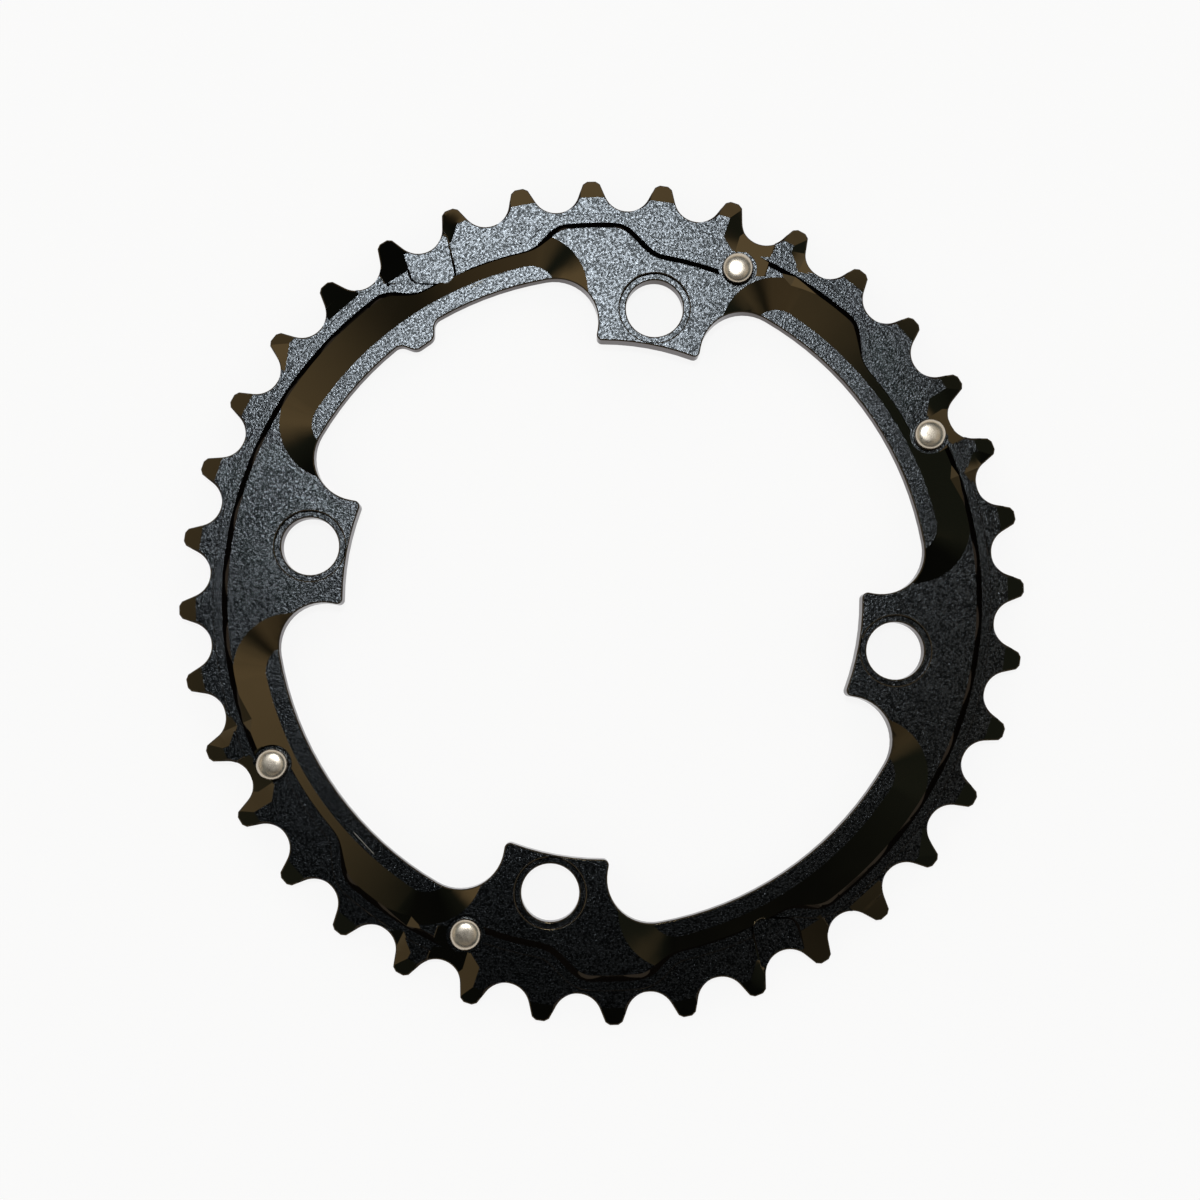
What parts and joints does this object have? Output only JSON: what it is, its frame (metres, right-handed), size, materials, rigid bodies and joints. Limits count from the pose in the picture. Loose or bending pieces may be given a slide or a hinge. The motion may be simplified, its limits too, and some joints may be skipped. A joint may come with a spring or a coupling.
{
  "type": "bicycle chainring",
  "caption": "Black anodised middle chainring with shift ramps, gate pockets, pressed steel shift pins and bolt tabs on a standard bolt circle, turning a roller chain on a crank spider.",
  "frame": {"origin": "centre of the bolt circle on the flat back of the bolt tabs", "axes": "+Z along the ring's axis towards the side with the shift pins, +Y towards the locating nub, bolt holes on the diagonals between X and Y"},
  "size_m": [0.1484, 0.1484, 0.0052],
  "materials": {
    "anodised_aluminium": "bead-blasted and black anodised, glossy on the machined slopes",
    "pin_steel": "polished head"
  },
  "bodies": {
    "root": {"chainring": "anodised_aluminium", "shift_pin_1": "pin_steel", "shift_pin_2": "pin_steel", "shift_pin_3": "pin_steel", "shift_pin_4": "pin_steel"}
  },
  "joints": []
}
